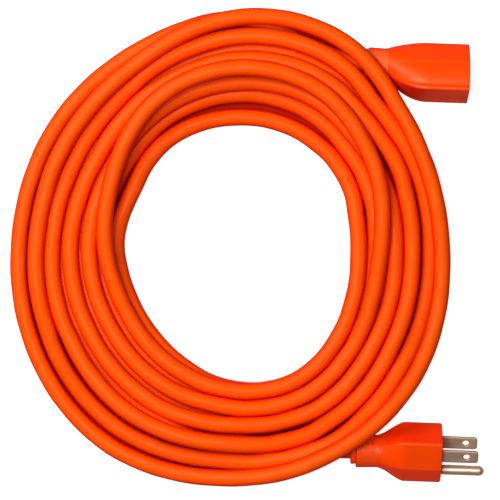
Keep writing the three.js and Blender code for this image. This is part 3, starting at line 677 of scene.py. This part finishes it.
plug_exit = neck_end(PLUG, PLUG_AT)
connector_exit = neck_end(CONNECTOR, CONNECTOR_AT)
start_y, end_y = -stations[0][1], stations[-1][1]
to_plug = [plug_exit, (53.4, plug_exit[1], plug_exit[2]), (38, -98.5, 8.6), (22, -96.8, 5.3),
           (8.5, start_y, RADIUS), (0.3, start_y, RADIUS)]
to_connector = [connector_exit, (53.8, connector_exit[1], connector_exit[2]), (38, 97.8, 8.0),
                (23, 104.3, 5.2), (8.5, end_y, RADIUS), (0.3, end_y, RADIUS)]


def curve_through(points, step):
    """Smooth curve through the points, as points a step apart."""
    p = [np.array(point, float) for point in points]
    p = [2 * p[0] - p[1], *p, 2 * p[-1] - p[-2]]
    fine = []
    for a, b, c, d in zip(p, p[1:], p[2:], p[3:]):
        t1 = np.linalg.norm(b - a) ** 0.5
        t2 = t1 + np.linalg.norm(c - b) ** 0.5
        t3 = t2 + np.linalg.norm(d - c) ** 0.5
        for t in np.linspace(t1, t2, 24, endpoint=False):
            a1 = (t1 - t) / t1 * a + t / t1 * b
            a2 = (t2 - t) / (t2 - t1) * b + (t - t1) / (t2 - t1) * c
            a3 = (t3 - t) / (t3 - t2) * c + (t - t2) / (t3 - t2) * d
            b1 = (t2 - t) / t2 * a1 + t / t2 * a2
            b2 = (t3 - t) / (t3 - t1) * a2 + (t - t1) / (t3 - t1) * a3
            fine.append((t2 - t) / (t2 - t1) * b1 + (t - t1) / (t2 - t1) * b2)
    fine.append(p[-2])
    fine = np.array(fine)
    run = np.concatenate([[0], np.cumsum(np.linalg.norm(np.diff(fine, axis=0), axis=1))])
    even = np.linspace(0, run[-1], int(round(run[-1] / step)) + 1)
    return np.stack([np.interp(even, run, fine[:, k]) for k in range(3)], axis=1)


def in_the_way(stretch, point, room):
    """What the loops climb over: a free stretch, and the end of its neck."""
    items = [(p, SPACING) for p in curve_through(stretch, 1.2)] + [(point, room + RADIUS + STRAND_GAP)]
    return [(math.degrees(math.atan2(y, x)) % 360, math.hypot(x, y), z, room)
            for (x, y, z), room in items]


obstacles = in_the_way(to_plug, plug_exit, PLUG["collar"])
obstacles += in_the_way(to_connector, connector_exit, CONNECTOR["collar"])
for _ in range(8):
    held = []
    for degrees, reach, order, _height in stations:
        level = RADIUS
        for other in stations:
            apart = abs(other[1] - reach)
            if other[2] < order and abs(other[0] - degrees) < 1 and apart < SPACING:
                level = max(level, other[3] + math.sqrt(SPACING ** 2 - apart ** 2))
        for at, distance, height, room in obstacles:
            apart = abs(distance - reach)
            if apart < room and abs(at - degrees) < (7.5 if room > SPACING else 1):
                level = max(level, height + math.sqrt(room ** 2 - apart ** 2))
        held.append(level)
    last = len(held) - 1
    highest = [max(held[max(k - 1, 0)], held[k], held[min(k + 1, last)]) for k in range(len(held))]
    for k, station in enumerate(stations):
        station[3] = (highest[max(k - 1, 0)] + highest[k] + highest[min(k + 1, last)]) / 3

loops = [(reach * math.cos(math.radians(a)), reach * math.sin(math.radians(a)), height)
         for a, reach, _order, height in stations]
loops[0], loops[-1] = (0, start_y, RADIUS), (0, end_y, RADIUS)
loops[1:1] = [(-CORD_DIAMETER, start_y, RADIUS)]
loops[-1:-1] = [(-CORD_DIAMETER, end_y, RADIUS)]
route = to_connector[:-1] + loops[::-1] + to_plug[-2::-1]
centreline = curve_through(route, 2.5)

# the smooth cord settles: strands that meet are pushed apart, near ones drawn together, and all sink
DRAWN_TOGETHER = 0.96
SETTLING_ROUNDS = 30
girdle = np.array([round_the_pile(INNER_REACH, a) + round_the_pile(OUTER_REACH, a) for a in range(360)]) / 2
away = np.hypot(centreline[:, 0], centreline[:, 1])
bearing = np.degrees(np.arctan2(centreline[:, 1], centreline[:, 0])).astype(int) % 360
drawn = (girdle[bearing] + (away - girdle[bearing]) * DRAWN_TOGETHER) / away
from_an_end = np.minimum(np.arange(len(away)), np.arange(len(away))[::-1])
wound = np.clip((from_an_end - 20) / 40, 0, 1)
centreline[:, :2] *= (1 + (drawn - 1) * wound)[:, None]
for _ in range(SETTLING_ROUNDS):
    tree = KDTree(len(centreline))
    for k, point in enumerate(centreline):
        tree.insert(point, k)
    tree.balance()
    push = np.zeros_like(centreline)
    for k, point in enumerate(centreline):
        for co, other, distance in tree.find_range(point, CORD_DIAMETER + 0.9):
            if abs(other - k) > 9 and distance > 0:
                apart = CORD_DIAMETER + 0.1 - distance
                push[k] += (point - np.array(co)) / distance * apart * (0.35 if apart > 0 else 0.02)
    push[:, 2] -= 0.05 * wound
    push[:8] = push[-8:] = 0
    centreline += push
    eased_line = (centreline[:-2] + centreline[2:]) / 2
    centreline[1:-1] += 0.2 * (eased_line - centreline[1:-1])
    centreline[4:-4, 2] = np.maximum(centreline[4:-4, 2], RADIUS)
centreline = centreline * MM + np.array([PILE_MIDDLE.x, PILE_MIDDLE.y, 0])

path = bpy.data.curves.new("cord_path", "CURVE")
path.dimensions = "3D"
spline = path.splines.new("POLY")
spline.points.add(len(centreline) - 1)
spline.points.foreach_set("co", np.concatenate([centreline, np.ones((len(centreline), 1))], axis=1).ravel())
cord_path = bpy.data.objects.new("cord_path", path)
scene.collection.objects.link(cord_path)

jacket_tree = bpy.data.node_groups.new("jacket_along_the_cord", "GeometryNodeTree")
jacket_sockets = {}
for socket_name, kind, value in (
    ("Geometry", "NodeSocketGeometry", None), ("Jacket radius", "NodeSocketFloat", RADIUS * MM),
    ("Sides", "NodeSocketInt", 36), ("Lay of the cores", "NodeSocketFloat", 62 * MM),
    ("Height of the lay", "NodeSocketFloat", 0.05 * MM), ("Material", "NodeSocketMaterial", None),
):
    socket = jacket_tree.interface.new_socket(socket_name, in_out="INPUT", socket_type=kind)
    if value is not None:
        socket.default_value = value
    jacket_sockets[socket_name] = socket.identifier
jacket_tree.interface.new_socket("Geometry", in_out="OUTPUT", socket_type="NodeSocketGeometry")

jt = jacket_tree
jacket_in = jt.nodes.new("NodeGroupInput")
upright = add_node(jt, "GeometryNodeSetCurveNormal", {"mode": "Z_UP"},
                   {"Curve": jacket_in.outputs["Geometry"]})
along = add_node(jt, "GeometryNodeSplineParameter")
line = add_node(jt, "GeometryNodeStoreNamedAttribute", {"data_type": "FLOAT", "domain": "POINT"},
                {"Geometry": upright.outputs["Curve"], "Name": "run", "Value": along.outputs["Length"]})
circle = add_node(jt, "GeometryNodeCurvePrimitiveCircle", {"mode": "RADIUS"},
                  {"Resolution": jacket_in.outputs["Sides"], "Radius": jacket_in.outputs["Jacket radius"]})
round_it = add_node(jt, "GeometryNodeStoreNamedAttribute", {"data_type": "FLOAT", "domain": "POINT"},
                    {"Geometry": circle.outputs["Curve"], "Name": "girth", "Value": along.outputs["Factor"]})
tube = add_node(jt, "GeometryNodeCurveToMesh", None,
                {"Curve": line.outputs["Geometry"], "Profile Curve": round_it.outputs["Geometry"],
                 "Fill Caps": True})
run = add_node(jt, "GeometryNodeInputNamedAttribute", {"data_type": "FLOAT"}, {"Name": "run"})
girth = add_node(jt, "GeometryNodeInputNamedAttribute", {"data_type": "FLOAT"}, {"Name": "girth"})
turn = math_of(jt, "MULTIPLY", girth.outputs["Attribute"], 2 * math.pi)
radius_in = jacket_in.outputs["Jacket radius"]
place = add_node(jt, "ShaderNodeCombineXYZ", None,
                 {"X": math_of(jt, "MULTIPLY", radius_in, math_of(jt, "COSINE", turn)),
                  "Y": math_of(jt, "MULTIPLY", radius_in, math_of(jt, "SINE", turn)),
                  "Z": run.outputs["Attribute"]})
marked = add_node(jt, "GeometryNodeStoreNamedAttribute",
                  {"data_type": "FLOAT_VECTOR", "domain": "POINT"},
                  {"Geometry": tube.outputs["Mesh"], "Name": "jacket_place",
                   "Value": place.outputs["Vector"]})
lay_turn = math_of(jt, "MULTIPLY", math_of(jt, "DIVIDE", run.outputs["Attribute"],
                                           jacket_in.outputs["Lay of the cores"]), 2 * math.pi)
lobes = math_of(jt, "COSINE", math_of(jt, "MULTIPLY", math_of(jt, "SUBTRACT", turn, lay_turn), 3.0))
normal = add_node(jt, "GeometryNodeInputNormal")
facing = add_node(jt, "ShaderNodeSeparateXYZ", None, {"Vector": normal.outputs["Normal"]})
# upward: how far the jacket faces straight up, which sets its painted side shade
turned = add_node(jt, "GeometryNodeStoreNamedAttribute", {"data_type": "FLOAT", "domain": "POINT"},
                  {"Geometry": marked.outputs["Geometry"], "Name": "upward", "Value": facing.outputs["Z"]})
swell = add_node(jt, "ShaderNodeVectorMath", {"operation": "SCALE"},
                 {"Vector": normal.outputs["Normal"],
                  "Scale": math_of(jt, "MULTIPLY", lobes, jacket_in.outputs["Height of the lay"])})
raised = add_node(jt, "GeometryNodeSetPosition", None,
                  {"Geometry": turned.outputs["Geometry"], "Offset": swell.outputs["Vector"]})
smooth = add_node(jt, "GeometryNodeSetShadeSmooth", None, {"Geometry": raised.outputs["Geometry"]})
whole = add_node(jt, "GeometryNodeRealizeInstances", None, {"Geometry": smooth.outputs["Geometry"]})
dressed = add_node(jt, "GeometryNodeSetMaterial", None,
                   {"Geometry": whole.outputs["Geometry"], "Material": jacket_in.outputs["Material"]})
jacket_out = jt.nodes.new("NodeGroupOutput")
jt.links.new(dressed.outputs["Geometry"], jacket_out.inputs["Geometry"])

winding = cord_path.modifiers.new("winding", "NODES")
winding.node_group = jacket_tree
# sides: painted shade, a deeper red mixed in down the jacket's sides, away from straight up
jacket_vinyl = plastic("orange_cord_jacket", (1.0, 0.084, 0.0006), (1.0, 0.13, 0.006), 0.42, 1500.0, 0.35,
                       place="jacket_place", lines=0.6, sides=(0.80, 0.013, 0.0002))
winding[jacket_sockets["Material"]] = jacket_vinyl
bpy.context.view_layer.update()
wound_path = cord_path.evaluated_get(bpy.context.evaluated_depsgraph_get())
cord_mesh = bpy.data.meshes.new_from_object(wound_path)
cord = bpy.data.objects.new("wound_cord", cord_mesh)
scene.collection.objects.link(cord)
cord_path.modifiers.remove(winding)
bpy.data.objects.remove(cord_path)
finished(cord, jacket_vinyl, "jacket", "cord_coil", "cord_to_plug", "cord_to_connector")
plug_pieces = ["plug_cover", "plug_insert", "blade_line", "blade_neutral", "ground_pin"]
plug_pieces += [name for name in nodes if name.startswith(("plug_wire", "plug_copper", "plug_jacket"))]

# ------------------------------------------------------------------ floor and light
# A sheet of white paper lit by one large softbox above and a weaker one from the upper left. Under the pile
# the paper has a painted shade, a dark red, so that no bright line shows between two strands.

floor_points = []
for degrees in range(0, 360, 5):
    heading = Vector((math.cos(math.radians(degrees)), math.sin(math.radians(degrees)))) * MM
    inner, outer = round_the_pile(INNER_REACH, degrees), round_the_pile(OUTER_REACH, degrees)
    for reach in (1, inner, inner + 2, outer - 4, outer - 1, 4000):
        at = PILE_MIDDLE + heading * reach
        floor_points.append((at.x, at.y, -0.3 * MM))
rows = len(floor_points) // 6
floor_faces = [(6 * k + j, 6 * k + j + 1, 6 * ((k + 1) % rows) + j + 1, 6 * ((k + 1) % rows) + j)
               for k in range(rows) for j in range(5)]
floor_faces.append(tuple(6 * k for k in range(rows)))
floor_mesh = bpy.data.meshes.new("studio_floor")
floor_mesh.from_pydata(floor_points, [], floor_faces)
# painted shade under the pile: marks the ring of floor that lies under the strands
shaded = floor_mesh.attributes.new("painted_shade_under_pile", "FLOAT", "POINT")
shaded.data.foreach_set("value", [0, 0, 1, 1, 0, 0] * rows)
floor = bpy.data.objects.new("studio_floor", floor_mesh)
scene.collection.objects.link(floor)

floor_paper, paper, paper_shader = new_material("white_paper", specular=0.1)
paper_shader.inputs["Roughness"].default_value = 0.9
paper_shader.inputs["Emission Color"].default_value = (1, 1, 1, 1)
shown = add_node(paper, "ShaderNodeLightPath").outputs["Is Camera Ray"]
painted_shade = add_node(paper, "ShaderNodeAttribute", {"attribute_name": "painted_shade_under_pile"}).outputs["Fac"]
# the paper's glow is left out under the pile, as part of its painted shade
glow = math_of(paper, "MULTIPLY", math_of(paper, "SUBTRACT", 1.0, painted_shade), 0.8)
paper.links.new(math_of(paper, "MULTIPLY", shown, glow), paper_shader.inputs["Emission Strength"])
# painted reflected light: to rays other than the camera's the paper is a warm orange, as if lit by the cord
sheet = mixed(paper, shown, (0.50, 0.24, 0.14, 1), (0.85, 0.85, 0.85, 1))
# painted shade: a dark red floor colour under the pile
paper.links.new(mixed(paper, painted_shade, sheet, (0.45, 0.008, 0.0005, 1)), paper_shader.inputs["Base Color"])
floor_mesh.materials.append(floor_paper)

world = bpy.data.worlds.new("studio")
scene.world = world
world.use_nodes = True
world.node_tree.nodes["Background"].inputs["Color"].default_value = (1, 1, 1, 1)
world.node_tree.nodes["Background"].inputs["Strength"].default_value = 0.07

for name, where, size, energy in (
    ("softbox_above", (-0.35, 0.1, 1.55), (0.7, 0.7), 23),
    ("softbox_upper_left", (-0.95, 0.75, 1.0), (0.7, 0.7), 13),
):
    lamp_data = bpy.data.lights.new(name, "AREA")
    lamp_data.shape = "RECTANGLE"
    lamp_data.size, lamp_data.size_y = size
    lamp_data.energy = energy
    lamp = bpy.data.objects.new(name, lamp_data)
    lamp.location = where
    lamp.rotation_euler = (-lamp.location).to_track_quat("-Z", "Y").to_euler()
    scene.collection.objects.link(lamp)

scene.view_settings.view_transform = "Standard"
